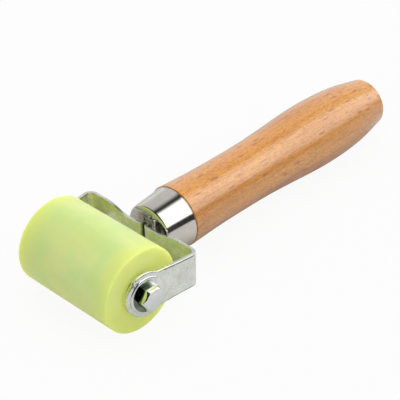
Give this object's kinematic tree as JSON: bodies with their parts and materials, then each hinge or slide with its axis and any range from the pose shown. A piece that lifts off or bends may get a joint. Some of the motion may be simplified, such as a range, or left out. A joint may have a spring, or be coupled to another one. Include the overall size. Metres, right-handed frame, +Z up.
{
  "type": "rubber brayer",
  "caption": "Hand roller for printmaking and bookbinding: a soft roller on ball bearings in a split strip-steel fork, with a ferruled wooden handle.",
  "frame": {"origin": "the middle of the roller, on the axle's axis", "axes": "+X along the axle towards the bolt's head, +Y along the handle towards its end, +Z up, square to the fork's strip edges"},
  "size_m": [0.072, 0.1903, 0.0382],
  "materials": {
    "urethane": "smooth ground urethane, cloudy and translucent",
    "core_metal": "turned",
    "bearing_steel": "ground bearing steel",
    "ball_steel": "polished",
    "cage_steel": "pressed sheet",
    "shield_steel": "pressed sheet",
    "sleeve_steel": "turned and zinc plated",
    "bolt_plating": "bright zinc plate",
    "nylon": "moulded",
    "fork_zinc": "satin zinc plate with a pale blue cast",
    "ferrule_nickel": "bright nickel plate",
    "handle_wood": "lacquered"
  },
  "bodies": {
    "holder": {"fork_right": "fork_zinc", "fork_left": "fork_zinc", "ferrule": "ferrule_nickel", "handle": "handle_wood", "axle_bolt": "bolt_plating", "head_washer": "bolt_plating", "nut_washer": "bolt_plating", "axle_nut": "bolt_plating", "nut_insert": "nylon", "bearing_inner_right": "bearing_steel", "bearing_inner_left": "bearing_steel", "inner_spacer": "sleeve_steel", "side_spacer_right": "sleeve_steel", "side_spacer_left": "sleeve_steel"},
    "roller": {"roller_cover": "urethane", "roller_core": "core_metal", "bearing_outer_right": "bearing_steel", "bearing_outer_left": "bearing_steel", "bearing_shields_right": "shield_steel", "bearing_shields_left": "shield_steel"},
    "balls_right": {"bearing_balls_right": "ball_steel", "bearing_cage_right": "cage_steel"},
    "balls_left": {"bearing_balls_left": "ball_steel", "bearing_cage_left": "cage_steel"}
  },
  "joints": [
    {"name": "roller_spin", "type": "hinge", "parent": "holder", "child": "roller", "pos_m": [0, 0, 0], "axis": [1, 0, 0], "continuous": true},
    {"name": "cage_spin_right", "type": "hinge", "parent": "holder", "child": "balls_right", "pos_m": [0.021, 0, 0], "axis": [1, 0, 0], "continuous": true},
    {"name": "cage_spin_left", "type": "hinge", "parent": "holder", "child": "balls_left", "pos_m": [-0.021, 0, 0], "axis": [1, 0, 0], "continuous": true}
  ],
  "couplings": [
    {"joint": "cage_spin_right", "follows": "roller_spin", "ratio": 0.64},
    {"joint": "cage_spin_left", "follows": "roller_spin", "ratio": 0.64}
  ]
}
